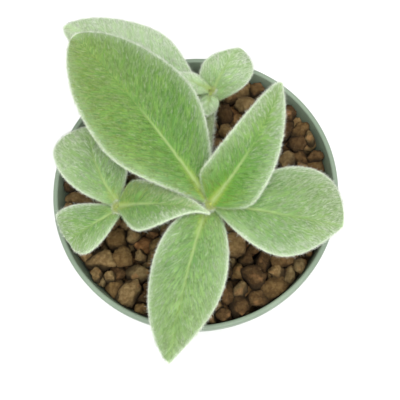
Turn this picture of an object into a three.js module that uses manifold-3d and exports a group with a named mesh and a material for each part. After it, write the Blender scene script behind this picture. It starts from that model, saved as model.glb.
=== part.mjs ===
// A potted Brazilian edelweiss: a tuberous house plant whose thick leaves stand in whorls at the tips of short stems.
// Millimetres, +Z up, with the origin at the centre of the pot's underside.
import * as THREE from "three";
import { mergeVertices } from "three/addons/utils/BufferGeometryUtils.js";
import Module from "manifold-3d";

const wasm = await Module();
wasm.setup();

// Clearance between pieces that touch on the real plant
const SEAT_GAP = 0.3;

// Pot
const POT_HEIGHT = 80;
const RIM_RADIUS = 51;
const BASE_RADIUS = 38.5;
const WALL = 1.2;
const FLOOR = 2.4;
const FOOT_CHAMFER = 1.2;
const LIP_HEIGHT = 3.6;
const LIP_PROUD = 0.6;
const LIP_ROUND = 0.6;
const POT_SIDES = 48;
const DRAIN_COUNT = 6;
const DRAIN_RADIUS = 4;
const DRAIN_CIRCLE = 25;
const DRAIN_SIDES = 16;

// Clay granules
const SOIL_LEVEL = 72;
const FILL_BELOW_LEVEL = 2.4;
const GRAIN_RADIUS = [2.9, 4.7];
const GRAIN_FLATTEST = 0.72;
const GRAIN_FLATNESS_RANGE = 0.24;
const GRAIN_LIFT = 0.3;
const RISE_AT_WALL = 1.8;
const GRAIN_TRIES = 4000;
const GRAIN_SPACING = 0.68;
const TRIES_PER_WALL_GRAIN = 4;
const PLACING_SEED = 11;
const SHAPING_SEED = 23;

// Tuber that the stems grow from, half sunk in the granules, its heights measured from their level
const TUBER_RADIUS = 10.5;
const TUBER_TOP = 5;
const TUBER_BOTTOM = -11;
const TUBER_LOBES = 5;
const TUBER_LOBE_DEPTH = 0.4;
const TUBER_SIDES = 16;
const TUBER_RINGS = 8;

// Stems: where each leaves the tuber, the bend on its way and its tip, measured from the granules' level
const STEM_SIDES = 10;
const STEM_STEPS = 7;
const STEM_FOOT_RADIUS = 2.9;
const STEM_TIP_RADIUS = 1.5;
const STEMS = {
  a: { foot: [1, -2.5, 1], bend: [4, -10, 24], tip: [7.8, -19.2, 50.5] },
  b: { foot: [-3, -1.5, 0], bend: [-17, -8, 11], tip: [-23.2, -14.6, 33.5] },
  c: { foot: [0.5, 3, 0], bend: [5, 17, 9], tip: [6.8, 28.2, 29] },
};

// Leaves
const BLADE = 1.1;
const MIDRIB_DEPTH = 0.8;
const PETIOLE_HALF_WIDTH = 1.2;
const PETIOLE_DEPTH = 0.8;
const PETIOLE_LENGTH = 4;
const TIP_HALF_WIDTH = 0.6;
const BULGE = 0.05;
const CURL_START = 0.65;
const FULL_GROWN = 40;
const MIDRIB_EDGE = 0.08;
const ACROSS = [-1, -0.8, -0.42, -MIDRIB_EDGE, MIDRIB_EDGE, 0.42, 0.8, 1];

// Each leaf: its stem and how far below the tip it joins, its heading and how far that bends sideways,
// how steeply it starts and ends, the extra curl of its tip, its length, then for either side its half
// width, the share of the length where it is widest and how pointed it runs out, how pointed the base is,
// the tilt about the midrib, how far the margins turn up, and the number, height and start of their waves.
const LEAVES = {
  leaf_a1: {
    stem: "a", below: 1.8, heading: 128, bend: 7, rise: 15, fall: -5, curl: 0, length: 70.3,
    left: [16.6, 0.5, 0.56], right: [17.8, 0.51, 0.57], base: 1.03, roll: 4, cup: -0.12, waves: [2, 0.7, 0],
  },
  leaf_a2: {
    stem: "a", below: 0.3, heading: 56.5, bend: 34, rise: 44, fall: -14, curl: 0, length: 44.3,
    left: [8.3, 0.17, 0.55], right: [10, 0.23, 0.98], base: 0.85, roll: 10, cup: 0.05, waves: [2, 0.6, 1],
  },
  leaf_a3: {
    stem: "a", below: 3.8, heading: -10, bend: 8, rise: 18, fall: -28, curl: 0, length: 42.2,
    left: [16.8, 0.7, 0.28], right: [12.3, 0.56, 1], base: 1.08, roll: 0, cup: -0.08, waves: [2, 0.6, 2],
  },
  leaf_a4: {
    stem: "a", below: 7.2, heading: 255.5, bend: 6, rise: 14, fall: -34, curl: 0, length: 51.7,
    left: [11.7, 0.45, 1], right: [11.2, 0.43, 0.62], base: 0.6, roll: 0, cup: -0.08, waves: [2, 0.6, 3],
  },
  leaf_b1: {
    stem: "b", below: 2.6, heading: 112.5, bend: -35, rise: 20, fall: -12, curl: 20, length: 31.2,
    left: [12.8, 0.76, 0.46], right: [12.5, 0.64, 0.5], base: 1.05, roll: 0, cup: -0.06, waves: [1, 0.5, 0],
  },
  leaf_b2: {
    stem: "b", below: 5.4, heading: 213, bend: 3, rise: 18, fall: -20, curl: 80, length: 23.9,
    left: [7, 0.74, 0.6], right: [10.6, 0.85, 0.6], base: 1.05, roll: 0, cup: -0.03, waves: [1, 0.4, 1],
  },
  leaf_b3: {
    stem: "b", below: 0.2, heading: -13, bend: -12, rise: 44, fall: 14, curl: 20, length: 36,
    left: [8.2, 0.16, 1], right: [8.8, 0.36, 1.8], base: 1.1, roll: 0, cup: 0.02, waves: [1, 0.4, 2],
  },
  leaf_c1: {
    stem: "c", below: 7, heading: 153, bend: 8, rise: 28, fall: -2, curl: 0, length: 57.8,
    left: [10.5, 0.44, 0.6], right: [13, 0.49, 0.62], base: 1.3, roll: 0, cup: -0.06, waves: [2, 0.5, 0],
  },
  leaf_c2: {
    stem: "c", below: 4.9, heading: 58, bend: -11, rise: 46, fall: -10, curl: 40, length: 22.7,
    left: [7.2, 0.46, 1.35], right: [9.4, 0.63, 0.34], base: 0.75, roll: 8, cup: -0.04, waves: [1, 0.4, 1],
  },
  leaf_c3: {
    stem: "c", below: 0.2, heading: 168, bend: 0, rise: 46, fall: 10, curl: 0, length: 14,
    left: [4, 0.5, 0.7], right: [2.9, 0.5, 0.7], base: 0.9, roll: 0, cup: 0.05, waves: [1, 0.3, 2],
  },
  leaf_c4: {
    stem: "c", below: 1.6, heading: 262, bend: 0, rise: 24, fall: -40, curl: 0, length: 8,
    left: [3.4, 0.5, 0.6], right: [3.6, 0.5, 0.6], base: 0.7, roll: 0, cup: -0.05, waves: [1, 0.3, 0],
  },
};

const FINISH = {
  pot: { color: 0x8fa592, roughness: 0.5, metalness: 0 },
  granules: { color: 0x8a5a41, roughness: 0.95, metalness: 0 },
  tuber: { color: 0x8d7a5c, roughness: 0.9, metalness: 0 },
  stem: { color: 0xc9d3b4, roughness: 0.9, metalness: 0 },
  leaf: { color: 0x9dc07c, roughness: 0.85, metalness: 0 },
};

// Random draws that are the same in every run, by the mulberry32 method
function seededRandom(seed) {
  let state = seed;
  return () => {
    state = (state + 0x6d2b79f5) | 0;
    let t = Math.imul(state ^ (state >>> 15), 1 | state);
    t = (t + Math.imul(t ^ (t >>> 7), 61 | t)) ^ t;
    return ((t ^ (t >>> 14)) >>> 0) / 4294967296;
  };
}

function toSolid(geometry) {
  const bare = geometry.index ? geometry.toNonIndexed() : geometry.clone();
  bare.deleteAttribute("normal");
  bare.deleteAttribute("uv");
  const merged = mergeVertices(bare, 1e-4);
  return new wasm.Manifold(
    new wasm.Mesh({
      numProp: 3,
      vertProperties: merged.attributes.position.array,
      triVerts: new Uint32Array(merged.index.array),
    }),
  );
}

function toGeometry(solid) {
  const mesh = solid.getMesh();
  const geometry = new THREE.BufferGeometry();
  geometry.setAttribute("position", new THREE.BufferAttribute(new Float32Array(mesh.vertProperties), 3));
  geometry.setIndex(new THREE.BufferAttribute(new Uint32Array(mesh.triVerts), 1));
  geometry.computeVertexNormals();
  return geometry;
}

function namedMesh(name, geometry, finish) {
  const mesh = new THREE.Mesh(geometry, new THREE.MeshStandardMaterial(FINISH[finish]));
  mesh.name = name;
  return mesh;
}

// A turned solid whose profile holds radius and height
function turned(profile, sides) {
  const points = profile.map(([radius, height]) => new THREE.Vector2(radius, height));
  return new THREE.LatheGeometry(points, sides).rotateX(Math.PI / 2);
}

const radians = THREE.MathUtils.degToRad;

// Pot

const wallTopRadius = RIM_RADIUS - LIP_PROUD;

function outerRadius(height) {
  return BASE_RADIUS + ((wallTopRadius - BASE_RADIUS) * height) / POT_HEIGHT;
}

function innerRadius(height) {
  return outerRadius(height) - WALL;
}

function potGeometry() {
  const lipFoot = POT_HEIGHT - LIP_HEIGHT;
  const profile = [
    [0, 0],
    [BASE_RADIUS - FOOT_CHAMFER, 0],
    [outerRadius(FOOT_CHAMFER), FOOT_CHAMFER],
    [outerRadius(lipFoot), lipFoot],
    [RIM_RADIUS - LIP_ROUND / 2, lipFoot],
    [RIM_RADIUS, lipFoot + LIP_ROUND],
    [RIM_RADIUS, POT_HEIGHT - LIP_ROUND],
    [RIM_RADIUS - LIP_ROUND, POT_HEIGHT],
    [innerRadius(POT_HEIGHT) + LIP_ROUND, POT_HEIGHT],
    [innerRadius(POT_HEIGHT - LIP_ROUND), POT_HEIGHT - LIP_ROUND],
    [innerRadius(FLOOR), FLOOR],
    [0, FLOOR],
  ];
  let pot = toSolid(turned(profile, POT_SIDES));
  for (let i = 0; i < DRAIN_COUNT; i++) {
    const angle = (2 * Math.PI * i) / DRAIN_COUNT;
    const drain = new THREE.CylinderGeometry(DRAIN_RADIUS, DRAIN_RADIUS, 3 * FLOOR, DRAIN_SIDES);
    drain.rotateX(Math.PI / 2).translate(DRAIN_CIRCLE * Math.cos(angle), DRAIN_CIRCLE * Math.sin(angle), 0);
    pot = pot.subtract(toSolid(drain));
  }
  return toGeometry(pot);
}

// Tuber, in the frame of the granules' level

function tuberSolid(grown) {
  const middle = (TUBER_TOP + TUBER_BOTTOM) / 2;
  const halfHeight = (TUBER_TOP - TUBER_BOTTOM) / 2 + grown;
  const ball = new THREE.SphereGeometry(1, TUBER_SIDES, TUBER_RINGS).rotateX(Math.PI / 2);
  const at = ball.attributes.position;
  for (let i = 0; i < at.count; i++) {
    const [x, y, z] = [at.getX(i), at.getY(i), at.getZ(i)];
    const lobes = Math.cos(TUBER_LOBES * Math.atan2(y, x)) * Math.hypot(x, y);
    const radius = TUBER_RADIUS + grown + TUBER_LOBE_DEPTH * lobes;
    at.setXYZ(i, x * radius, y * radius, middle + z * halfHeight);
  }
  return toSolid(ball);
}

// Granules

// Grains of mixed size are dropped at random spots, some of them right by the wall, and each is kept
// where it crowds no grain before it.
function grainPlaces() {
  const random = seededRandom(PLACING_SEED);
  const places = [];
  for (let i = 0; i < GRAIN_TRIES; i++) {
    const big = 1 - i / GRAIN_TRIES;
    const radius = GRAIN_RADIUS[0] + (GRAIN_RADIUS[1] - GRAIN_RADIUS[0]) * big * random();
    const reach = innerRadius(SOIL_LEVEL) - SEAT_GAP - radius;
    const byWall = i % TRIES_PER_WALL_GRAIN === 0;
    const out = reach * (byWall ? 1 : Math.sqrt(random()));
    const angle = 2 * Math.PI * random();
    const [x, y] = [out * Math.cos(angle), out * Math.sin(angle)];
    const crowded = places.some((p) => Math.hypot(p.x - x, p.y - y) < GRAIN_SPACING * (p.radius + radius));
    const onTuber = out < TUBER_RADIUS + GRAIN_SPACING * radius;
    if (!crowded && !onTuber) places.push({ x, y, radius });
  }
  return places;
}

function grainGeometry(radius, random) {
  const flatness = () => GRAIN_FLATTEST + GRAIN_FLATNESS_RANGE * random();
  const grain = new THREE.IcosahedronGeometry(radius, 0).scale(1, flatness(), flatness());
  grain.rotateX(2 * Math.PI * random());
  grain.rotateY(2 * Math.PI * random());
  grain.rotateZ(2 * Math.PI * random());
  return grain;
}

// The fill up to just under the level, with the grains sunk to about their middles in its top
function granulesGeometry() {
  const foot = FLOOR + SEAT_GAP;
  const top = SOIL_LEVEL - FILL_BELOW_LEVEL;
  const profile = [
    [0, foot],
    [innerRadius(foot) - SEAT_GAP, foot],
    [innerRadius(top) - SEAT_GAP, top],
    [0, top],
  ];
  const fill = toSolid(turned(profile, POT_SIDES));
  const random = seededRandom(SHAPING_SEED);
  const grains = grainPlaces().map(({ x, y, radius }) => {
    const rise = RISE_AT_WALL * (Math.hypot(x, y) / innerRadius(top)) ** 4;
    return toSolid(grainGeometry(radius, random)).translate([x, y, top + rise + GRAIN_LIFT * radius * random()]);
  });
  const heap = wasm.Manifold.union([fill, ...grains]);
  const potted = heap.subtract(tuberSolid(SEAT_GAP).translate([0, 0, SOIL_LEVEL]));
  const [body] = potted.decompose().sort((a, b) => b.volume() - a.volume());
  return toGeometry(body);
}

// Stems, in the frame of the granules' level

function stemCurve(stem) {
  const { foot, bend, tip } = STEMS[stem];
  return new THREE.QuadraticBezierCurve3(
    new THREE.Vector3(...foot),
    new THREE.Vector3(...bend),
    new THREE.Vector3(...tip),
  );
}

function ringPoints(curve, frames, step, radius) {
  const centre = curve.getPointAt(step / STEM_STEPS);
  const ring = [];
  for (let k = 0; k < STEM_SIDES; k++) {
    const angle = (2 * Math.PI * k) / STEM_SIDES;
    const point = centre.clone();
    point.addScaledVector(frames.normals[step], radius * Math.cos(angle));
    point.addScaledVector(frames.binormals[step], radius * Math.sin(angle));
    ring.push(point);
  }
  return ring;
}

// A stem is a tapering tube that ends in a small round bud between its leaves.
function stemSolid(stem, grown) {
  const curve = stemCurve(stem);
  const frames = curve.computeFrenetFrames(STEM_STEPS, false);
  const rings = [];
  for (let i = 0; i <= STEM_STEPS; i++) {
    const radius = THREE.MathUtils.lerp(STEM_FOOT_RADIUS, STEM_TIP_RADIUS, i / STEM_STEPS) + grown;
    rings.push(ringPoints(curve, frames, i, radius));
  }
  const budRadius = STEM_TIP_RADIUS + grown;
  for (const lift of [0.5, 0.85]) {
    const ring = ringPoints(curve, frames, STEM_STEPS, budRadius * Math.sqrt(1 - lift * lift));
    ring.forEach((point) => point.addScaledVector(frames.tangents[STEM_STEPS], budRadius * lift));
    rings.push(ring);
  }
  const footCentre = curve.getPointAt(0);
  const budTop = curve.getPointAt(1).addScaledVector(frames.tangents[STEM_STEPS], budRadius);
  const points = [...rings.flat(), footCentre, budTop];
  const footIndex = points.length - 2;
  const lastRing = (rings.length - 1) * STEM_SIDES;
  const faces = [];
  for (let k = 0; k < STEM_SIDES; k++) {
    const next = (k + 1) % STEM_SIDES;
    for (let i = 0; i + 1 < rings.length; i++) {
      const [a, b] = [i * STEM_SIDES + k, i * STEM_SIDES + next];
      faces.push(a, b, b + STEM_SIDES, a, b + STEM_SIDES, a + STEM_SIDES);
    }
    faces.push(footIndex, next, k, footIndex + 1, lastRing + k, lastRing + next);
  }
  return toSolid(indexed(points, faces));
}

function indexed(points, faces) {
  const geometry = new THREE.BufferGeometry().setFromPoints(points);
  geometry.setIndex(faces);
  return geometry;
}

// The stem as it stands clear of the tuber
function stemGeometry(stem) {
  return toGeometry(stemSolid(stem, 0).subtract(tuberSolid(SEAT_GAP)));
}

// The point on a stem's middle line that lies a given way below its tip
function stemPoint(stem, below) {
  const curve = stemCurve(stem);
  return curve.getPointAt(1 - below / curve.getLength());
}

// Leaves, each in its own frame with its base at the origin and its heading along +X

function halfWidth(s, [half, widest, runOut], base) {
  const quarter = Math.PI / 2;
  const shape =
    s < widest
      ? Math.sin((quarter * s) / widest) ** base
      : Math.max(0, Math.cos((quarter * (s - widest)) / (1 - widest))) ** runOut;
  return Math.hypot(half * shape, PETIOLE_HALF_WIDTH * (1 - s), TIP_HALF_WIDTH);
}

// Directions along, across to the left and up from the blade at a share s of its length
function leafFrame(leaf, s) {
  const curl = Math.max(0, (s - CURL_START) / (1 - CURL_START)) ** 2;
  const pitch = radians(leaf.rise + (leaf.fall - leaf.rise) * s - leaf.curl * curl);
  const turn = radians(leaf.bend * (s - 0.5));
  const along = new THREE.Vector3(
    Math.cos(turn) * Math.cos(pitch),
    Math.sin(turn) * Math.cos(pitch),
    Math.sin(pitch),
  );
  const left = new THREE.Vector3(-Math.sin(turn), Math.cos(turn), 0);
  left.applyAxisAngle(along, radians(leaf.roll));
  const up = new THREE.Vector3().crossVectors(along, left);
  return { along, left, up };
}

function bladeLift(leaf, s, t, half) {
  const [waves, height, start] = leaf.waves;
  const side = t > 0 ? 0 : 2;
  const wave = height * Math.sin(2 * Math.PI * waves * s + start + side) * Math.sin(Math.PI * s);
  return half * (BULGE * Math.sin(Math.PI * Math.abs(t)) + leaf.cup * t * t) + wave * t * t;
}

// Upper and lower faces are the same grid, so a waved blade keeps its thickness everywhere.
function leafSolid(leaf) {
  const steps = Math.round(7 + leaf.length / 9);
  const columns = ACROSS.length;
  const sturdy = Math.min(1, leaf.length / FULL_GROWN);
  const upper = [];
  const lower = [];
  const place = new THREE.Vector3();
  let sBefore = 0;
  for (let i = 0; i <= steps; i++) {
    const s = (1 - Math.cos((Math.PI * i) / steps)) / 2;
    place.addScaledVector(leafFrame(leaf, (s + sBefore) / 2).along, leaf.length * (s - sBefore));
    sBefore = s;
    const { left, up } = leafFrame(leaf, s);
    const petiole = sturdy * PETIOLE_DEPTH * Math.exp((-s * leaf.length) / PETIOLE_LENGTH);
    for (const t of ACROSS) {
      const half = halfWidth(s, t > 0 ? leaf.left : leaf.right, leaf.base);
      const middle = place.clone().addScaledVector(left, t * half);
      middle.addScaledVector(up, bladeLift(leaf, s, t, half));
      const isMidrib = Math.abs(t) <= MIDRIB_EDGE;
      const rib = isMidrib ? sturdy * MIDRIB_DEPTH * (1 - s) : 0;
      upper.push(middle.clone().addScaledVector(up, BLADE / 2));
      lower.push(middle.addScaledVector(up, -BLADE / 2 - petiole - rib));
    }
  }
  const points = [...upper, ...lower];
  const under = upper.length;
  const faces = [];
  const quad = (a, b, c, d) => faces.push(a, b, c, a, c, d);
  for (let i = 0; i < steps; i++) {
    for (let j = 0; j + 1 < columns; j++) {
      const a = i * columns + j;
      const [b, c, d] = [a + columns, a + columns + 1, a + 1];
      quad(a, b, c, d);
      quad(under + a, under + d, under + c, under + b);
    }
    const right = i * columns;
    const left = right + columns - 1;
    quad(right, right + under, right + columns + under, right + columns);
    quad(left, left + columns, left + columns + under, left + under);
  }
  const last = steps * columns;
  for (let j = 0; j + 1 < columns; j++) {
    quad(j, j + 1, j + 1 + under, j + under);
    quad(last + j, last + j + under, last + j + 1 + under, last + j + 1);
  }
  return toSolid(indexed(points, faces));
}

// The leaf starts at its stem's middle line and is cut back to the stem's skin.
function leafMesh(name) {
  const leaf = LEAVES[name];
  const base = stemPoint(leaf.stem, leaf.below);
  const stemHere = stemSolid(leaf.stem, SEAT_GAP)
    .translate([-base.x, -base.y, -base.z])
    .rotate([0, 0, -leaf.heading]);
  const pieces = leafSolid(leaf).subtract(stemHere).decompose();
  const [blade] = pieces.sort((a, b) => b.volume() - a.volume());
  const mesh = namedMesh(name, toGeometry(blade), "leaf");
  mesh.position.copy(base);
  mesh.rotation.z = radians(leaf.heading);
  return mesh;
}

// Assembly

const plant = new THREE.Group();
plant.position.z = SOIL_LEVEL;
plant.add(namedMesh("tuber", toGeometry(tuberSolid(0)), "tuber"));
for (const stem of Object.keys(STEMS)) {
  plant.add(namedMesh("stem_" + stem, stemGeometry(stem), "stem"));
}
for (const name of Object.keys(LEAVES)) {
  plant.add(leafMesh(name));
}

const potted = new THREE.Group();
potted.add(namedMesh("pot", potGeometry(), "pot"));
potted.add(namedMesh("granules", granulesGeometry(), "granules"));
potted.add(plant);

export default potted;
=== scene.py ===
from dataclasses import dataclass
from math import cos, pi, radians, sin, tan

import bmesh
import bpy
import numpy as np
from mathutils import Matrix, Vector, noise


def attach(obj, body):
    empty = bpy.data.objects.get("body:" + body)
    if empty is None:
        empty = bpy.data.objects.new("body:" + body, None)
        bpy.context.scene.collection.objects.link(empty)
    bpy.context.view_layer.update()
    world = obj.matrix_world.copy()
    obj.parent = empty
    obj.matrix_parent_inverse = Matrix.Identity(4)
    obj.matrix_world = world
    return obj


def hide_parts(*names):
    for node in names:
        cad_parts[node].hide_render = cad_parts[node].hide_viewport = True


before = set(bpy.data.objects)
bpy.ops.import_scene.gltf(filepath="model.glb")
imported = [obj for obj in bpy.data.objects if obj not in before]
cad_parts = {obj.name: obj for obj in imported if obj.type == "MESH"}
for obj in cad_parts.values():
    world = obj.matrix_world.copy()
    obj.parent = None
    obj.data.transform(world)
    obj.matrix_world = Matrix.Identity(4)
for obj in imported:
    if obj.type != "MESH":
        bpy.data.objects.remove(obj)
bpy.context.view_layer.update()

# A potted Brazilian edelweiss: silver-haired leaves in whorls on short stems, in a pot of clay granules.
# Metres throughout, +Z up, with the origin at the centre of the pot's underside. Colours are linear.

# Camera, aimed at the pot's rim from a little off the vertical
CAMERA_DISTANCE = 0.3
CAMERA_ELEVATION = 72.45
CAMERA_AZIMUTH = 10.65
CAMERA_LENS = 75.66
CAMERA_SENSOR = 36.0
AIM_RIGHT = 0.00204
AIM_UP = -0.00448

# Floor and light
SOFTBOX_PLACE = (0.11, -0.32, 1.2)
SOFTBOX_SIDE = 0.9
SOFTBOX_WATTS = 17.0
WORLD_STRENGTH = 0.6

# Pot
POT_HEIGHT = 0.08
RIM_RADIUS = 0.051
BASE_RADIUS = 0.0385
WALL = 0.0012
FLOOR = 0.0024
FLOOR_ROUND = 0.002
LIP_HEIGHT = 0.0036
LIP_PROUD = 0.0006
LIP_ROUND = 0.0007
LIP_LOW_ROUND = 0.0005
SIDE_STEP = 0.66 * POT_HEIGHT
SIDE_STEP_DEPTH = 0.0003
SIDE_STEP_SLOPE = 0.0006
FOOT_ROUND = 0.0012
GROOVE = (0.0345, 0.0369)
GROOVE_SLOPE = 0.0007
GROOVE_DEPTH = 0.0006
PLAIN_MIDDLE = 0.012
POT_SIDES = 192
DRAIN_COUNT = 6
DRAIN_RADIUS = 0.004
DRAIN_CIRCLE = 0.025

# Clay granules: the pile and the plain fill below it
SOIL_LEVEL = 0.072
PILE_DEPTH = 0.01
PILE_TOP = 0.0024
WALL_TOP = 0.0036
RISE_AT_WALL = 0.002
FILL_GAP = 0.0004
FILL_BEVEL = 0.002
FILL_LIFT = 0.0003

# How grains are dropped. A touch and the first step of a roll are shares of a radius.
GRAIN_RADIUS = (0.0023, 0.0047)
GRAIN_TOUCH = 0.92
WALL_TOUCH = 0.84
DROPS_PER_GRAIN = 5
DROP_SPREAD = 0.42
ROLL_STEP = 0.8
ROLL_END = 0.00015
MISSES_WHEN_FULL = 60
WALL_TRIES = 1500

# How each grain is shaped: worn flats, lumps as frequency and height, and its three sizes
GRAIN_SWELL = 1.16
FLAT_COUNT = 9
FLAT_CUT = (0.58, 0.9)
FLAT_WEAR = 0.9
LUMPS = ((1.4, 0.32), (3.6, 0.16))
GRAIN_LENGTH = 1.18
GRAIN_WIDTH = (0.78, 1.0)
GRAIN_THICKNESS = (0.66, 0.92)
GRAIN_GAP = 0.0002

# Tuber, with its cracks as two crossing waves
TUBER_RADIUS = 0.0105
TUBER_TOP = 0.005
TUBER_BOTTOM = -0.011
TUBER_LOBES = 5
TUBER_LOBE_DEPTH = 0.0004
TUBER_CRACK_DEPTH = 0.00012
TUBER_CRACKS = ((900.0, -700.0, 2100.0), (-1100.0, 1300.0, 600.0))

# Stems: where each leaves the tuber, the bend on its way and its tip, measured from the granules' level
STEM_FOOT_RADIUS = 0.0029
STEM_TIP_RADIUS = 0.0015
STEM_GRID = (56, 28)
BUD_HEIGHT = 0.0003
BUD_RINGS = 6
STEMS = {
    "a": ((0.001, -0.0025, 0.001), (0.004, -0.01, 0.024), (0.0078, -0.0192, 0.0505)),
    "b": ((-0.003, -0.0015, 0.0), (-0.017, -0.008, 0.011), (-0.0232, -0.0146, 0.0335)),
    "c": ((0.0005, 0.003, 0.0), (0.005, 0.017, 0.009), (0.0068, 0.0282, 0.029)),
}

# Knobs on the stems: their height, and waves round the stem and radians a millimetre along it
KNOB_HEIGHT = 0.00007
KNOB_WAVES = ((2, 0.5), (3, 0.9), (5, 1.7))

# Leaf blades
BLADE = 0.0011
MIDRIB_DEPTH = 0.0008
MIDRIB_SHARE = 0.17
PETIOLE_HALF_WIDTH = 0.0012
PETIOLE_DEPTH = 0.0008
PETIOLE_LENGTH = 0.004
TIP_HALF_WIDTH = 0.0006
TIP_SHARE = 0.03
BULGE = 0.05
CURL_START = 0.65
FULL_GROWN = 0.04


@dataclass
class Leaf:
    """One leaf. Angles are in degrees. Each side has its half width, where along the leaf it is
    widest, and how pointed it runs out. A wave has a count, a height and a start. The hairs lean off
    the midrib by comb. The colour is grey all over, yellower by sunlit_gold to the left and towards
    the tip as a painted sunlit side, frosted to the tip and fresh green beside the midrib by these
    shares, and the pale midrib fades out by rib_end."""

    stem: str
    below: float
    heading: float
    bend: float
    rise: float
    fall: float
    curl: float
    length: float
    left: tuple
    right: tuple
    base: float
    cup: float
    waves: tuple
    comb: float
    grey: float
    roll: float = 0
    sunlit_gold: float = 0.1
    frost: float = 0.1
    rib_end: float = 0.8
    fresh: float = 0.25


LEAVES = {
    "leaf_a1": Leaf(
        "a", 0.0018, 128, 7, 15, -5, 0, 0.0703, (0.0166, 0.5, 0.56), (0.0178, 0.51, 0.57),
        1.03, roll=4, cup=-0.12, waves=(2, 0.0007, 0), comb=44, grey=0.05, sunlit_gold=0.4, rib_end=0.65,
    ),
    "leaf_a2": Leaf(
        "a", 0.0003, 56.5, 34, 44, -14, 0, 0.0443, (0.0083, 0.17, 0.55), (0.01, 0.23, 0.98),
        0.85, roll=10, cup=0.05, waves=(2, 0.0006, 1), comb=48, grey=0.1,
        frost=0.35, rib_end=0.6, fresh=0.85,
    ),
    "leaf_a3": Leaf(
        "a", 0.0038, -10, 8, 18, -28, 0, 0.0422, (0.0168, 0.7, 0.28), (0.0123, 0.56, 1),
        1.08, cup=-0.08, waves=(2, 0.0006, 2), comb=28, grey=0.35, frost=0.3,
    ),
    "leaf_a4": Leaf(
        "a", 0.0072, 255.5, 6, 14, -34, 0, 0.0517, (0.0117, 0.45, 1), (0.0112, 0.43, 0.62),
        0.6, cup=-0.08, waves=(2, 0.0006, 3), comb=24, grey=0.35, frost=-0.15,
    ),
    "leaf_b1": Leaf(
        "b", 0.0026, 112.5, -35, 20, -12, 20, 0.0312, (0.0128, 0.76, 0.46), (0.0125, 0.64, 0.5),
        1.05, cup=-0.06, waves=(1, 0.0005, 0), comb=38, grey=0.5, frost=0.35,
    ),
    "leaf_b2": Leaf(
        "b", 0.0054, 213, 3, 18, -20, 80, 0.0239, (0.007, 0.74, 0.6), (0.0106, 0.85, 0.6),
        1.05, cup=-0.03, waves=(1, 0.0004, 1), comb=34, grey=0.2, frost=0.35,
    ),
    "leaf_b3": Leaf(
        "b", 0.0002, -13, -12, 44, 14, 20, 0.036, (0.0082, 0.16, 1), (0.0088, 0.36, 1.8),
        1.1, cup=0.02, waves=(1, 0.0004, 2), comb=40, grey=0.2, sunlit_gold=0.45, frost=0.5,
    ),
    "leaf_c1": Leaf(
        "c", 0.007, 153, 8, 28, -2, 0, 0.0578, (0.0105, 0.44, 0.6), (0.013, 0.49, 0.62),
        1.3, cup=-0.06, waves=(2, 0.0005, 0), comb=40, grey=1.2,
    ),
    "leaf_c2": Leaf(
        "c", 0.0049, 58, -11, 46, -10, 40, 0.0227, (0.0072, 0.46, 1.35), (0.0094, 0.63, 0.34),
        0.75, roll=8, cup=-0.04, waves=(1, 0.0004, 1), comb=36, grey=0.65, frost=0.8,
    ),
    "leaf_c3": Leaf(
        "c", 0.0002, 168, 0, 46, 10, 0, 0.014, (0.004, 0.5, 0.7), (0.0029, 0.5, 0.7),
        0.9, cup=0.05, waves=(1, 0.0003, 2), comb=30, grey=2.0,
    ),
    "leaf_c4": Leaf(
        "c", 0.0016, 262, 0, 24, -40, 0, 0.008, (0.0034, 0.5, 0.6), (0.0036, 0.5, 0.6),
        0.7, cup=-0.05, waves=(1, 0.0003, 0), comb=30, grey=2.0,
    ),
}

# Blade detail: rows along and columns across, then grooves and hair streaks
BLADE_GRID = (72, 33)
SMALL_BLADE_GRID = (44, 25)
SMALL_LEAF = 0.03
COLUMN_CROWDING = 1.7
BLADE_START = 0.004
BLADE_END = 0.9995
MIDRIB_GROOVE = 0.0003
MIDRIB_GROOVE_WIDTH = 0.00042
VEIN_SPACING = 0.0085
VEIN_STAGGER = 0.4
VEIN_GROOVE = 0.00028
VEIN_GROOVE_WIDTH = 0.0007
VEIN_LEAN = 46.0
STREAK_WIDTH = 0.00042
STREAK_LENGTH = 0.0042

# Hairs: tufts a square metre and hairs a tuft above, hairs a square metre below, and hairs a stem and a bud
TUFT_DENSITY = 3.3e6
HAIRS_PER_TUFT = 4
UNDER_DENSITY = 2.4e6
STEM_HAIRS = 4800
BUD_HAIRS = 600

# Fringes: hairs a metre of margin, their lengths, and how far inside the margin they root
FRINGE = (48e3, (0.0004, 0.001), 0.0012)
LONG_FRINGE = (4e3, (0.001, 0.0019), 0.0006)

# One hair's size, and in degrees how far it rises off what it grows on
HAIR_RADIUS = 0.000018
HAIR_ROOT = 0.0001
UPPER_LENGTH, UPPER_RISE = (0.0013, 0.0026), (8, 24)
UNDER_LENGTH, UNDER_RISE = (0.001, 0.0022), (18, 45)
STEM_LENGTH, STEM_RISE = (0.001, 0.0022), (15, 60)
BUD_LENGTH, BUD_RISE = (0.0007, 0.0016), (15, 50)

# A tuft: how wide it roots, how far its roots and its tips scatter, and where the combing turns outwards
TUFT_WIDTH = 0.00022
TUFT_SCATTER = 0.0006
TUFT_TIP_SCATTER = 0.00012
TUFT_ROOT = 0.0002
PARTING = 0.0007

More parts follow.
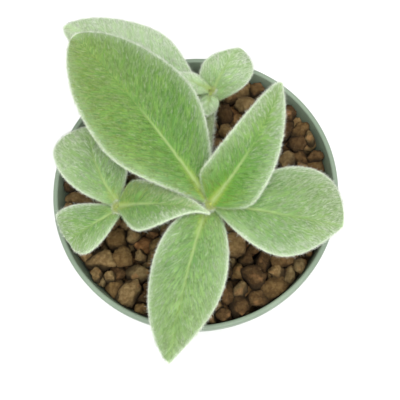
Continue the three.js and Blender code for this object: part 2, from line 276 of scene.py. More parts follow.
# Colours of the pot, the grains, the tuber, the stems and the floor
SAGE = ((0.212, 0.277, 0.202, 1), (0.24, 0.309, 0.226, 1))
SAGE_DUST = (0.3, 0.33, 0.29, 1)
CLAY_TONES = (
    (0.0, (0.078, 0.043, 0.016, 1)),
    (0.22, (0.133, 0.075, 0.028, 1)),
    (0.45, (0.198, 0.123, 0.045, 1)),
    (0.65, (0.2, 0.146, 0.066, 1)),
    (0.85, (0.313, 0.205, 0.086, 1)),
    (1.0, (0.27, 0.118, 0.042, 1)),
)
CLAY_SHADE = (0.6, 0.55, 0.49, 1)
CLAY_RUST = (0.34, 0.175, 0.07, 1)
CLAY_SPECK = (0.46, 0.36, 0.23, 1)
# painted shade for the lower side of each grain
CLAY_PAINTED_SHADE = (0.03, 0.02, 0.01, 1)
BARK = ((0.095, 0.066, 0.04, 1), (0.315, 0.25, 0.165, 1))
STEM_CORK = ((0.2, 0.16, 0.075, 1), (0.29, 0.26, 0.13, 1))
STEM_GREEN = ((0.25, 0.35, 0.13, 1), (0.36, 0.46, 0.23, 1))
STEM_TIP = (0.33, 0.4, 0.08, 1)
PAPER = ((0.93, 0.93, 0.93, 1), (0.95, 0.95, 0.95, 1))

# Colours of the leaves and of their hairs
LEAF_GREEN = ((0.115, 0.26, 0.034, 1), (0.175, 0.335, 0.046, 1))
LEAF_STREAK = (0.048, 0.152, 0.015, 1)
LEAF_FAR = (0.19, 0.27, 0.075, 1)
LEAF_DOWN = (0.5, 0.65, 0.39, 1)
LEAF_MARGIN = (0.28, 0.39, 0.2, 1)
# pale margin rim, partly real colour and partly painted glow
LEAF_RIM_AND_GLOW = (0.66, 0.79, 0.54, 1)
LEAF_DEEP = (0.085, 0.245, 0.018, 1)
LEAF_YELLOW = (0.335, 0.39, 0.045, 1)
LEAF_VEIN = (0.1, 0.23, 0.03, 1)
LEAF_MIDRIB = (0.3, 0.41, 0.15, 1)
LEAF_SHEEN = (0.8, 0.92, 0.72, 1)
HAIR_TONES = (
    (0.0, (0.15, 0.335, 0.05, 1)),
    (0.25, (0.35, 0.535, 0.205, 1)),
    (0.6, (0.5, 0.64, 0.38, 1)),
    (1.0, (0.93, 0.99, 0.86, 1)),
)
HAIR_WARM = (0.48, 0.56, 0.09, 1)


# Mesh helpers


def new_object(name, data):
    made = bpy.data.objects.new(name, data)
    bpy.context.scene.collection.objects.link(made)
    return made


def mesh_object(name, points, faces, material, smooth=True, **attributes):
    """A new object from points and from arrays of faces, each of one number of sides.
    Each attribute has one value or vector a point."""
    points = np.asarray(points, np.float32).reshape(-1, 3)
    sides = np.concatenate([np.full(len(part), part.shape[1], np.int32) for part in faces])
    corners = np.concatenate([np.asarray(part, np.int32).ravel() for part in faces])
    mesh = bpy.data.meshes.new(name)
    mesh.vertices.add(len(points))
    mesh.vertices.foreach_set("co", points.ravel())
    mesh.loops.add(len(corners))
    mesh.loops.foreach_set("vertex_index", corners)
    mesh.polygons.add(len(sides))
    mesh.polygons.foreach_set("loop_start", np.concatenate([[0], np.cumsum(sides)[:-1]]).astype(np.int32))
    mesh.polygons.foreach_set("use_smooth", np.full(len(sides), smooth))
    for key, values in attributes.items():
        values = np.asarray(values, np.float32)
        kind, field = ("FLOAT", "value") if values.ndim == 1 else ("FLOAT_VECTOR", "vector")
        mesh.attributes.new(key, kind, "POINT").data.foreach_set(field, values.ravel())
    mesh.update(calc_edges=True)
    mesh.materials.append(material)
    return new_object(name, mesh)


def place_piece(piece, slot, *nodes):
    """Ties a piece to the part and lets it stand for its CAD nodes."""
    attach(piece, "root")
    if nodes:
        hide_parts(*nodes)


def unit(vectors):
    """The vectors at length one."""
    return vectors / np.linalg.norm(vectors, axis=-1, keepdims=True)


def along_track(spots, track, values):
    """Vectors at these spots, from vectors given along a track."""
    return np.stack([np.interp(spots, track, values[:, k]) for k in range(3)], -1)


def lean_to(first, second, angle):
    """The first directions, leaning by these angles to the second ones."""
    return first * np.cos(angle)[:, None] + second * np.sin(angle)[:, None]


def running_length(points):
    """How far along a track of points each one lies."""
    return np.concatenate([[0], np.cumsum(np.linalg.norm(np.diff(points, axis=0), axis=1))])


def ring_faces(rings, sides):
    """Quads between each ring of a tube and the next."""
    ring, side = np.meshgrid(np.arange(rings - 1), np.arange(sides), indexing="ij")
    here = ring * sides + side
    beside = ring * sides + (side + 1) % sides
    return np.stack([here, beside, beside + sides, here + sides], -1).reshape(-1, 4)


def end_caps(count, sides):
    """The faces that close the first and the last ring of a tube with this many points."""
    ring = np.arange(sides)
    return np.stack([ring[::-1], count - sides + ring])


def turned(profile, sides):
    """A closed solid's points and faces, turned from radius and height pairs, from its underside up."""
    profile = np.asarray(profile)
    angle = 2 * pi * np.arange(sides) / sides
    radius = profile[:, 0, None]
    x, y = radius * np.cos(angle), radius * np.sin(angle)
    z = np.broadcast_to(profile[:, 1, None], x.shape)
    points = np.stack([x, y, z], -1).reshape(-1, 3)
    return points, [ring_faces(len(profile), sides), end_caps(len(points), sides)]


# Material helpers


def attribute(tree, name, output="Fac"):
    made = tree.nodes.new("ShaderNodeAttribute")
    made.attribute_name = name
    return made.outputs[output]


def where(tree):
    return tree.nodes.new("ShaderNodeTexCoord").outputs["Object"]


def node(kind, inputs, **settings):
    """Adds a shader node beside those that feed it. An input is a value or another node's output."""
    feeds = {key: value for key, value in inputs.items() if isinstance(value, bpy.types.NodeSocket)}
    tree = next(iter(feeds.values())).id_data
    made = tree.nodes.new("ShaderNode" + kind)
    for name, value in settings.items():
        setattr(made, name, value)
    for key, value in inputs.items():
        if key in feeds:
            tree.links.new(value, made.inputs[key])
        else:
            made.inputs[key].default_value = value
    return made


def fractal(vector, scale, detail=3.0, roughness=0.5):
    """Noise, from 0 to 1."""
    inputs = {"Vector": vector, "Scale": scale, "Detail": detail, "Roughness": roughness}
    return node("TexNoise", inputs).outputs["Fac"]


def rescale(value, low, high, to_low=0.0, to_high=1.0):
    """Moves a value from one range to another, smoothly and without passing its ends."""
    inputs = {"Value": value, "From Min": low, "From Max": high, "To Min": to_low, "To Max": to_high}
    return node("MapRange", inputs, interpolation_type="SMOOTHSTEP").outputs["Result"]


def plus(first, second):
    return node("Math", {0: first, 1: second}, operation="ADD").outputs[0]


def times(first, second):
    return node("Math", {0: first, 1: second}, operation="MULTIPLY").outputs[0]


def mix(factor, first, second, blend="MIX"):
    """Two colours mixed, each a value or another node's output."""
    inputs = {0: factor, 6: first, 7: second}
    return node("Mix", inputs, data_type="RGBA", blend_type=blend).outputs[2]


def layer(colour, over, cover, share):
    """A colour with another laid over it, where the cover says and at most by the share."""
    return mix(times(cover, share), colour, over)


def ramp(factor, stops):
    """A colour ramp with (place, colour) stops."""
    made = node("ValToRGB", {"Fac": factor})
    elements = made.color_ramp.elements
    while len(elements) < len(stops):
        elements.new(0.5)
    for element, (place, colour) in zip(elements, stops):
        element.position = place
        element.color = colour
    return made.outputs["Color"]


def bump(height, strength, distance):
    inputs = {"Height": height, "Strength": strength, "Distance": distance}
    return node("Bump", inputs).outputs["Normal"]


def shader_socket(tree, key):
    return tree.nodes["Principled BSDF"].inputs[key.replace("_", " ")]


def new_material(name, **settings):
    """A material and its node tree, with these values on its shader's own sockets."""
    material = bpy.data.materials.new(name)
    material.use_nodes = True
    for key, value in settings.items():
        shader_socket(material.node_tree, key).default_value = value
    return material, material.node_tree


def wired(material, **outputs):
    """The material, with these outputs fed into its shader's sockets of these names."""
    for key, output in outputs.items():
        material.node_tree.links.new(output, shader_socket(material.node_tree, key))
    return material


# Materials


def pot_material():
    """Sage plastic with a faint mottle, small scuffs and a fine moulded grain."""
    material, tree = new_material("pot_plastic", Specular_IOR_Level=0.4)
    place = where(tree)
    mottle = rescale(fractal(place, 60, 4), 0.35, 0.65)
    dust = rescale(fractal(place, 420, 5, 0.65), 0.56, 0.74)
    colour = layer(mix(mottle, *SAGE), SAGE_DUST, dust, 0.2)
    rough = rescale(fractal(place, 140), 0.3, 0.7, 0.42, 0.58)
    grain = bump(fractal(place, 2600, 2), 0.12, 0.0002)
    return wired(material, Base_Color=colour, Roughness=rough, Normal=grain)


def granule_material():
    """Fired clay: each grain its own brown, ochre or tan, with rusty patches and fine pits. Each grain
    is painted darker on its lower side, as painted shade."""
    material, tree = new_material("clay", Roughness=0.92, Specular_IOR_Level=0.2)
    place = where(tree)
    colour = ramp(attribute(tree, "tone"), CLAY_TONES)
    shade = rescale(fractal(place, 620, 4, 0.6), 0.38, 0.66)
    colour = mix(shade, mix(1.0, colour, CLAY_SHADE, "MULTIPLY"), colour)
    colour = layer(colour, CLAY_RUST, rescale(fractal(place, 230), 0.57, 0.7), 0.5)
    colour = layer(colour, CLAY_SPECK, rescale(fractal(place, 2300, 3, 0.7), 0.6, 0.72), 0.35)
    # painted shade: each grain darker on its lower side, by its own height
    colour = layer(colour, CLAY_PAINTED_SHADE, rescale(attribute(tree, "top"), -0.05, 0.8, 1, 0), 0.85)
    pits = plus(fractal(place, 1500, 5, 0.7), fractal(place, 520))
    return wired(material, Base_Color=colour, Normal=bump(pits, 0.9, 0.0006))


def tuber_material():
    """Corky skin, grey-brown with darker cracks round it."""
    material, tree = new_material("tuber_skin", Roughness=0.9)
    stretched = node("Mapping", {"Vector": where(tree), "Scale": (1, 1, 4)}).outputs[0]
    bark = rescale(fractal(stretched, 260, 6, 0.65), 0.35, 0.68)
    return wired(material, Base_Color=mix(bark, *BARK), Normal=bump(bark, 0.8, 0.0006))


def blade_material(name, leaf):
    """Fleshy green, yellow by the midrib near the base, paler at the margin and towards the tip, with
    streaks along the hairs, sunken side veins and a pale midrib. The thin rim at the margin is partly
    its real pale colour and partly a painted glow."""
    material, tree = new_material(
        name,
        Roughness=0.6,
        Specular_IOR_Level=0.3,
        Sheen_Weight=0.25,
        Sheen_Roughness=0.5,
        Sheen_Tint=LEAF_SHEEN,
        Subsurface_Weight=0.1,
        Subsurface_Radius=(0.5, 1.0, 0.25),
        Subsurface_Scale=0.001,
    )
    flow = attribute(tree, "flow", "Vector")
    along = attribute(tree, "along")
    from_margin = attribute(tree, "from_margin")
    from_midrib = attribute(tree, "from_midrib")
    streak = fractal(flow, 1, 2)
    cloud = rescale(fractal(where(tree), 95), 0.3, 0.7)
    colour = mix(cloud, *LEAF_GREEN)
    colour = mix(rescale(streak, 0.32, 0.68), colour, LEAF_STREAK)
    colour = layer(colour, LEAF_FAR, rescale(along, 0.35, 1), 0.45)
    colour = layer(colour, LEAF_DOWN, rescale(cloud, 0, 1, 0.75), 0.55 * leaf.grey)
    clear = rescale(along, 0, 0.3, 0.15, 0.6)
    colour = layer(colour, LEAF_MARGIN, rescale(from_margin, 0, 0.0055, 1, 0), clear)
    # thin rim at the margin: partly real pale colour, partly painted glow
    colour = layer(colour, LEAF_RIM_AND_GLOW, rescale(from_margin, 0, 0.0008, 1.1, 0), clear)
    beside = rescale(from_midrib, 0.001, 0.0075, 1, 0)
    colour = layer(colour, LEAF_DEEP, beside, rescale(along, 0.1, 0.6, leaf.fresh, 0))
    near_rib = rescale(from_midrib, 0, 0.0022, 1, 0)
    near_base = rescale(along, 0, 0.3, 1, 0)
    colour = layer(colour, LEAF_YELLOW, times(near_rib, near_base), 0.9)
    colour = layer(colour, LEAF_VEIN, attribute(tree, "vein"), 0.4)
    groove = rescale(attribute(tree, "from_groove"), 0.2, 1.8, 1, 0)
    colour = layer(colour, LEAF_MIDRIB, groove, rescale(along, 0.3, leaf.rib_end, 0.8, 0))
    relief = plus(streak, times(fractal(flow, 3, 2), 0.5))
    return wired(material, Base_Color=colour, Normal=bump(relief, 0.35, 0.0003))


def hair_material():
    """Green where the blade shines through the hairs, whiter where they stand clear of it, and yellower
    on a vein or near the base."""
    material, tree = new_material("silver_hair", Roughness=0.5, Specular_IOR_Level=0.3)
    colour = ramp(attribute(tree, "tone"), HAIR_TONES)
    return wired(material, Base_Color=mix(attribute(tree, "warm"), colour, HAIR_WARM))


def stem_material():
    """Pale green skin, corky at the foot and yellow at the tip, where the leaves start."""
    material, tree = new_material("stem_skin", Roughness=0.75, Sheen_Weight=0.3)
    along = attribute(tree, "along")
    patch = rescale(fractal(where(tree), 700, 4), 0.35, 0.65)
    young = rescale(along, 0.02, 0.35)
    colour = mix(young, mix(patch, *STEM_CORK), mix(patch, *STEM_GREEN))
    colour = mix(rescale(along, 0.93, 1), colour, STEM_TIP)
    return wired(material, Base_Color=colour, Normal=bump(patch, 0.4, 0.0003))


def floor_material():
    """Matt near-white paper with a faint grain."""
    material, tree = new_material("pale_floor", Roughness=0.95, Specular_IOR_Level=0.1)
    grain = rescale(fractal(where(tree), 900, 2), 0.3, 0.7)
    return wired(material, Base_Color=mix(grain, *PAPER))


# Camera, floor and light


def make_camera():
    elevation, azimuth = radians(CAMERA_ELEVATION), radians(CAMERA_AZIMUTH)
    level = cos(elevation)
    back = Vector((sin(azimuth) * level, -cos(azimuth) * level, sin(elevation)))
    right = Vector((0, 1, 0)).cross(back).normalized()
    up = back.cross(right)
    place = Vector((0, 0, POT_HEIGHT)) + right * AIM_RIGHT + up * AIM_UP + back * CAMERA_DISTANCE
    data = bpy.data.cameras.new("camera")
    data.lens = CAMERA_LENS
    data.sensor_width = CAMERA_SENSOR
    data.clip_start = 0.01
    camera = new_object("camera", data)
    camera.matrix_world = Matrix.Translation(place) @ Matrix((right, up, back)).transposed().to_4x4()
    bpy.context.scene.camera = camera


def make_floor():
    half = 3.0
    corners = [(-half, -half, 0), (half, -half, 0), (half, half, 0), (-half, half, 0)]
    floor = mesh_object("floor", corners, [np.array([(0, 1, 2, 3)])], floor_material(), smooth=False)


def make_softbox():
    """A square light that looks at the plant."""
    data = bpy.data.lights.new("softbox", "AREA")
    data.shape = "SQUARE"
    data.size = SOFTBOX_SIDE
    data.energy = SOFTBOX_WATTS
    light = new_object("softbox", data)
    aim = Vector((0, 0, SOIL_LEVEL)) - Vector(SOFTBOX_PLACE)
    turn = aim.to_track_quat("-Z", "Y").to_matrix().to_4x4()
    light.matrix_world = Matrix.Translation(SOFTBOX_PLACE) @ turn


def make_world():
    world = bpy.data.worlds.new("studio")
    world.use_nodes = True
    background = world.node_tree.nodes["Background"]
    background.inputs["Color"].default_value = (1.0, 1.0, 1.0, 1.0)
    background.inputs["Strength"].default_value = WORLD_STRENGTH
    bpy.context.scene.world = world


def make_studio():
    make_camera()
    make_floor()
    make_softbox()
    make_world()
    bpy.context.scene.view_settings.view_transform = "Standard"


# Pot


def outer_radius(height):
    return BASE_RADIUS + (RIM_RADIUS - LIP_PROUD - BASE_RADIUS) * height / POT_HEIGHT


def inner_radius(height):
    return outer_radius(height) - WALL


def arc(centre, radius, start, end, steps=6):
    """Radius and height pairs round a corner, by angle in degrees from outwards."""
    angles = np.radians(np.linspace(start, end, steps))
    return [(centre[0] + radius * cos(a), centre[1] + radius * sin(a)) for a in angles]


def foot_profile():
    """The underside, with its ring groove, and the rounded foot."""
    inside, outside = GROOVE
    slope, depth = GROOVE_SLOPE, GROOVE_DEPTH
    points = [(PLAIN_MIDDLE, 0.0), (inside, 0.0), (inside + slope, depth)]
    points += [(outside - slope, depth), (outside, 0.0)]
    return points + arc((BASE_RADIUS - FOOT_ROUND, FOOT_ROUND), FOOT_ROUND, -90, -8)


def lip_profile():
    """The rolled lip, from the neck below it up and over to the inside."""
    foot, low, top = POT_HEIGHT - LIP_HEIGHT, LIP_LOW_ROUND, POT_HEIGHT - LIP_ROUND
    points = [(outer_radius(foot) - 0.0001, foot - 0.0002)]
    points += arc((RIM_RADIUS - low, foot + low), low, -90, 0, 4)
    points += arc((RIM_RADIUS - LIP_ROUND, top), LIP_ROUND, 0, 90)
    return points + arc((inner_radius(POT_HEIGHT) + LIP_ROUND, top), LIP_ROUND, 90, 176)


def pot_profile():
    """The whole wall, from the underside round the lip to the floor inside."""
    points = foot_profile()
    points += [(outer_radius(SIDE_STEP) - SIDE_STEP_DEPTH, SIDE_STEP)]
    points += [(outer_radius(SIDE_STEP), SIDE_STEP + SIDE_STEP_SLOPE)]
    points += lip_profile()
    points += [(inner_radius(0.5 * POT_HEIGHT), 0.5 * POT_HEIGHT)]
    points += arc((inner_radius(FLOOR) - FLOOR_ROUND, FLOOR + FLOOR_ROUND), FLOOR_ROUND, 0, -90)
    return points + [(PLAIN_MIDDLE, FLOOR)]


def make_pot():
    """The turned shell with its rolled lip, its floor pierced by the drain holes."""
    points, faces = turned(pot_profile(), POT_SIDES)
    pot = mesh_object("pot_moulded", points, faces, pot_material())
    bpy.context.view_layer.objects.active = pot
    for number in range(DRAIN_COUNT):
        turn = 2 * pi * number / DRAIN_COUNT
        points, faces = turned([(DRAIN_RADIUS, -FLOOR), (DRAIN_RADIUS, 2 * FLOOR)], 32)
        points = points + (DRAIN_CIRCLE * cos(turn), DRAIN_CIRCLE * sin(turn), 0)
        drill = mesh_object("drill", points, faces, pot.data.materials[0])
        cut = pot.modifiers.new("drain", "BOOLEAN")
        cut.operation = "DIFFERENCE"
        cut.object = drill
        bpy.ops.object.modifier_apply(modifier=cut.name)
        bpy.data.objects.remove(drill)
    pot.data.set_sharp_from_angle(angle=radians(40))
    place_piece(pot, "pot", "pot")


# Stems, each along a bent line


@dataclass
class Line:
    """A smooth line: its points, its directions and how far along it each point lies."""

    points: np.ndarray
    along: np.ndarray
    reach: np.ndarray

    def at(self, distance):
        return along_track(np.atleast_1d(distance), self.reach, self.points)

    def direction(self, distance):
        return unit(along_track(np.atleast_1d(distance), self.reach, self.along))


def stem_line(stem):
    foot, bend, tip = (np.array(p) + (0, 0, SOIL_LEVEL) for p in STEMS[stem])
    t = np.linspace(0, 1, 201)[:, None]
    points = (1 - t) ** 2 * foot + 2 * t * (1 - t) * bend + t**2 * tip
    along = unit(2 * (1 - t) * (bend - foot) + 2 * t * (tip - bend))
    return Line(points, along, running_length(points))


def stem_radius(share):
    return STEM_FOOT_RADIUS + (STEM_TIP_RADIUS - STEM_FOOT_RADIUS) * share


def across(directions):
    """Two directions square to each one."""
    sideways = unit(np.cross(directions, (0.0, 0.3, 1.0)))
    return sideways, np.cross(directions, sideways)


def make_stem(stem, random):
    """A slightly knobbly tube with a low rounded tip between the leaves."""
    line = stem_line(stem)
    length = line.reach[-1]
    rings, sides = STEM_GRID
    share = np.linspace(0, 1, rings)
    bud = np.linspace(0, pi / 2, BUD_RINGS + 1)[1:]
    distance = np.concatenate([share * length, np.full(BUD_RINGS, length)])
    radius = np.concatenate([stem_radius(share), STEM_TIP_RADIUS * np.cos(bud) + 0.00005])
    beyond = np.concatenate([np.zeros(rings), BUD_HEIGHT * np.sin(bud)])
    along = line.direction(distance)
    centre = line.at(distance) + along * beyond[:, None]
    first, second = across(along)
    angle = 2 * pi * np.arange(sides) / sides
    knobs = sum(
        KNOB_HEIGHT * np.sin(k * angle[None] + wave * distance[:, None] * 1000 + random.uniform(0, 6))
        for k, wave in KNOB_WAVES
    )
    reach = radius[:, None] + knobs * np.minimum(1, radius / STEM_TIP_RADIUS)[:, None]
    spokes = lean_to(first[:, None], second[:, None], angle)
    points = (centre[:, None] + spokes * reach[..., None]).reshape(-1, 3)
    faces = [ring_faces(len(distance), sides), end_caps(len(points), sides)]
    share = np.repeat(np.concatenate([share, np.ones(BUD_RINGS)]), sides)
    piece = mesh_object("stem_" + stem + "_skin", points, faces, stem_material(), along=share)
    place_piece(piece, "stem", "stem_" + stem)
    return line


# Leaves. A place on a blade has a share s along it, and t across it from -1 at the right to 1 at the left.


def midrib_line(leaf):
    """Stations along a leaf's midrib: share, place, and directions along, to the left and up."""
    stem = stem_line(leaf.stem)
    s = np.linspace(0, 1, 301)

    def directions(share):
        curl = np.clip((share - CURL_START) / (1 - CURL_START), 0, None) ** 2
        pitch = np.radians(leaf.rise + (leaf.fall - leaf.rise) * share - leaf.curl * curl)
        turn = np.radians(leaf.heading + leaf.bend * (share - 0.5))
        along = np.stack([np.cos(turn) * np.cos(pitch), np.sin(turn) * np.cos(pitch), np.sin(pitch)], -1)
        level = np.stack([-np.sin(turn), np.cos(turn), np.zeros_like(turn)], -1)
        roll = radians(leaf.roll)
        left = level * cos(roll) + np.cross(along, level) * sin(roll)
        return along, left, np.cross(along, left)

    between = directions((s[1:] + s[:-1]) / 2)[0] * leaf.length * np.diff(s)[:, None]
    base = stem.at(stem.reach[-1] - leaf.below)
    place = base + np.concatenate([np.zeros((1, 3)), np.cumsum(between, axis=0)])
    return s, place, *directions(s)


def half_width(leaf, s, t):
    left = t > 0
    half = np.where(left, leaf.left[0], leaf.right[0])
    widest = np.where(left, leaf.left[1], leaf.right[1])
    run_out = np.where(left, leaf.left[2], leaf.right[2])
    rising = np.sin(pi / 2 * np.clip(s / widest, 0, 1)) ** leaf.base
    falling = np.cos(pi / 2 * np.clip((s - widest) / (1 - widest), 0, 1)) ** run_out
    in_tip = np.clip((s - (1 - TIP_SHARE)) / TIP_SHARE, 0, 1)
    round_tip = np.sqrt(np.clip(1 - in_tip**2, 0, 1))
    shape = half * np.where(s < widest, rising, falling)
    return np.sqrt(shape**2 + (PETIOLE_HALF_WIDTH * (1 - s)) ** 2 + (TIP_HALF_WIDTH * round_tip) ** 2)


def blade_lift(leaf, s, t, half):
    """How far the middle of the blade lies off its midrib plane: bulged, cupped and waved."""
    count, height, start = leaf.waves
    phase = start + np.where(t > 0, 0, 2)
    wave = height * np.sin(2 * pi * count * s + phase) * np.sin(pi * s)
    return half * (BULGE * np.sin(pi * np.abs(t)) + leaf.cup * t**2) + wave * t**2


def midrib_width(leaf, s):
    """The half width of the midrib's groove, which is widest at the base."""
    return MIDRIB_GROOVE_WIDTH * (1.15 - 0.45 * s + 0.9 * np.exp(-s * leaf.length / 0.006))


def veins(leaf, s, t, half):
    """How near each point lies to the midrib and to a side vein, from 0 to 1, with a vein's fading out."""
    away = np.abs(t) * half
    lean = away / tan(radians(VEIN_LEAN)) * (1 - 0.25 * np.abs(t))
    count = np.maximum(leaf.length / VEIN_SPACING, 3)
    phase = (s * leaf.length - lean) / leaf.length * count + np.where(t > 0, 0.0, VEIN_STAGGER)
    nearest = np.abs(phase - np.round(phase)) / count * leaf.length
    width = VEIN_GROOVE_WIDTH * (1 - 0.5 * np.abs(t))
    fade = np.clip(1.15 - np.abs(t), 0, 1) * np.clip(s * 8, 0, 1) * np.clip((1 - s) * 5, 0, 1)
    side = np.exp(-((nearest / width) ** 2)) * fade
    middle = np.exp(-((away / midrib_width(leaf, s)) ** 2)) * np.clip(1.25 - s, 0, 1)
    return middle, side


def margin_distance(leaf, s, t):
    """How far each point lies from the nearest margin or the tip."""
    return np.minimum((1 - np.abs(t)) * half_width(leaf, s, t), (1 - s) * leaf.length)


def blade_surface(leaf, line, s, t, face):
    """Points on the upper (face 1) or under (face -1) side, and the frame there."""
    share, *stations = line
    place, along, left, up = (along_track(s, share, values) for values in stations)
    half = half_width(leaf, s, t)
    middle, side = veins(leaf, s, t, half)
    edge = np.sqrt(np.clip(1 - np.abs(t) ** 6, 0, 1))
    sturdy = min(1, leaf.length / FULL_GROWN)
    if face > 0:
        depth = BLADE / 2 * edge - (MIDRIB_GROOVE * middle + VEIN_GROOVE * side) * edge
    else:
        petiole = sturdy * PETIOLE_DEPTH * np.exp(-s * leaf.length / PETIOLE_LENGTH)
        rib = sturdy * MIDRIB_DEPTH * (1 - s) * np.exp(-((t / MIDRIB_SHARE) ** 2))
        depth = (BLADE / 2 + petiole + rib + VEIN_GROOVE * side) * edge
    lift = blade_lift(leaf, s, t, half) + face * depth
    return place + left * (t * half)[..., None] + up * lift[..., None], along, left, up


def blade_attributes(leaf, s, t):
    """What the leaf's material reads: how far along and from midrib and margin, veins and hair flow."""
    half = half_width(leaf, s, t)
    away = np.abs(t) * half
    comb = radians(leaf.comb)
    ahead = s * leaf.length
    across_flow = ahead * sin(comb) - away * cos(comb)
    along_flow = ahead * cos(comb) + away * sin(comb)
    other_side = np.where(t > 0, 0.0, 40.0)
    return {
        "along": s,
        "from_midrib": away,
        "from_margin": margin_distance(leaf, s, t),
        "from_groove": away / midrib_width(leaf, s),
        "vein": veins(leaf, s, t, half)[1],
        "flow": np.stack([across_flow / STREAK_WIDTH, along_flow / STREAK_LENGTH, other_side], -1),
    }


def make_blade(name, leaf, line):
    """Both faces on one grid, joined round the margin and closed at the base and the tip. Its columns
    crowd towards the midrib."""
    rows, columns = BLADE_GRID if leaf.length > SMALL_LEAF else SMALL_BLADE_GRID
    s = (1 - np.cos(np.linspace(0, pi, rows))) / 2
    s[0], s[-1] = BLADE_START, BLADE_END
    even = np.linspace(-1, 1, columns)
    t = np.sin(pi / 2 * np.sign(even) * np.abs(even) ** COLUMN_CROWDING)
    sides = []
    for face, reach in ((1, t), (-1, t[-2:0:-1])):
        grid_s, grid_t = np.meshgrid(s, reach, indexing="ij")
        points = blade_surface(leaf, line, grid_s.ravel(), grid_t.ravel(), face)[0]
        sides.append((points.reshape(rows, -1, 3), grid_s, grid_t))
    points, every_s, every_t = (np.concatenate(part, axis=1) for part in zip(*sides))
    around = every_s.shape[1]
    faces = [ring_faces(rows, around)[:, ::-1], end_caps(rows * around, around)[:, ::-1]]
    marks = blade_attributes(leaf, every_s.ravel(), every_t.ravel())
    piece = mesh_object(name + "_blade", points, faces, blade_material(name + "_green", leaf), **marks)
    place_piece(piece, "leaf", name)


# Hairs, each a closed three-sided spike. A batch is roots, directions, lengths, radii, tones and warmths.


def spikes(roots, directions, lengths, radii, random):
    """Points and triangles of spikes that stand on their roots."""
    count = len(roots)
    first = unit(np.cross(directions, unit(random.normal(size=(count, 3)))))
    second = np.cross(directions, first)
    corners = []
    for turn in (0, 2 * pi / 3, 4 * pi / 3):
        spoke = first * cos(turn) + second * sin(turn)
        corners.append(roots + spoke * radii[:, None])
    corners.append(roots + directions * lengths[:, None])
    points = np.stack(corners, 1).reshape(-1, 3)
    start = 4 * np.arange(count)[:, None, None]
    faces = (start + np.array([[0, 2, 1], [0, 1, 3], [1, 2, 3], [2, 0, 3]])).reshape(-1, 3)
    return points, faces


def make_hairs(name, slot, batches, material):
    """One piece of all the spikes of these batches."""
    *shapes, tones, warmths = (np.concatenate(part) for part in zip(*batches))
    points, faces = spikes(*shapes, np.random.default_rng(5))
    corners = len(points) // len(tones)
    marks = {"tone": np.repeat(tones, corners), "warm": np.repeat(warmths, corners)}
    piece = mesh_object(name, points, [faces], material, **marks)
    place_piece(piece, slot)


def hair_sizes(random, count, lengths, thick):
    """Random lengths between these two, and radii round one that is this many times the common one."""
    return random.uniform(*lengths, count), thick * HAIR_RADIUS * random.uniform(0.8, 1.2, count)


def scattered(random, middle, spread, count=None):
    """Values round a middle, kept from 0 to 1."""
    return np.clip(random.normal(middle, spread, count), 0, 1)


def random_spots(leaf, density, random):
    """Random shares along and across a leaf, evenly by area, and how many its area calls for."""
    s = np.linspace(0, 1, 400)
    width = half_width(leaf, s, 1) + half_width(leaf, s, -1)
    filled = np.concatenate([[0], np.cumsum((width[1:] + width[:-1]) / 2)])
    area = filled[-1] * leaf.length / (len(s) - 1)
    count = int(area * density)
    along = np.interp(random.uniform(0, filled[-1], count), filled, s)
    left, right = half_width(leaf, along, 1), half_width(leaf, along, -1)
    spot = random.uniform(-right, left)
    return np.clip(along, 0.01, 0.995), np.clip(spot / np.where(spot > 0, left, right), -0.99, 0.99)


def combed(along, left, up, t, angle, rise):
    """Directions that lean off the midrib by an angle and off the blade by a rise, in radians."""
    return unit(lean_to(lean_to(along, left * np.sign(t)[:, None], angle), up, rise))


def comb_angle(leaf, s, t, random):
    """Hairs lie along the midrib beside it and turn outwards from it, with slow drifts and small jitter."""
    outward = np.clip(np.abs(t) * half_width(leaf, s, t) / PARTING, 0.6, 1)
    near_base = 0.35 * np.clip(1 - s / 0.35, 0, 1)
    drift = 0.16 * np.sin(9 * s + 5 * t) + 0.1 * np.sin(23 * s - 11 * t)
    turn = radians(leaf.comb) * (0.85 + 0.3 * np.abs(t)) + near_base + drift
    return turn * outward + random.normal(0, 0.13, len(s))


def warmth(leaf, s, t):
    """How yellow the hairs are: most on the midrib near the base, less on side veins and the painted sunlit
    side.
    """
    middle, side = veins(leaf, s, t, half_width(leaf, s, t))
    near_base = np.exp(-((s * leaf.length / min(0.007, 0.25 * leaf.length)) ** 2))
    # painted sunlit side: hairs yellower on the left half and towards the tip
    sunlit_gold = leaf.sunlit_gold * np.clip(0.5 + 0.9 * t + 0.9 * (s - 0.6), 0, 1)
    return np.clip(0.75 * middle + 0.25 * side + 0.6 * near_base + sunlit_gold, 0, 0.85)


def paleness(leaf, s, away, inside):
    """How white the hairs are: more on grey and frosted parts and by the margin, less on fresh green. The
    whitest rim by the margin is partly painted glow.
    """
    pale = 0.2 + 0.6 * leaf.grey + leaf.frost * np.clip(2.5 * (s - 0.35), 0, 1)
    # by the margin: a wide band of whiter hairs, and a narrow rim partly brightened as painted glow
    edge = 0.28 * np.exp(-((inside / 0.006) ** 2)) + 0.5 * np.exp(-((inside / 0.0008) ** 2))
    green = 0.4 * leaf.fresh * np.exp(-((away / 0.008) ** 2)) * np.clip(1.3 - s / 0.45, 0, 1)
    return pale + edge * np.clip(0.15 + 3 * s, 0, 1) - green


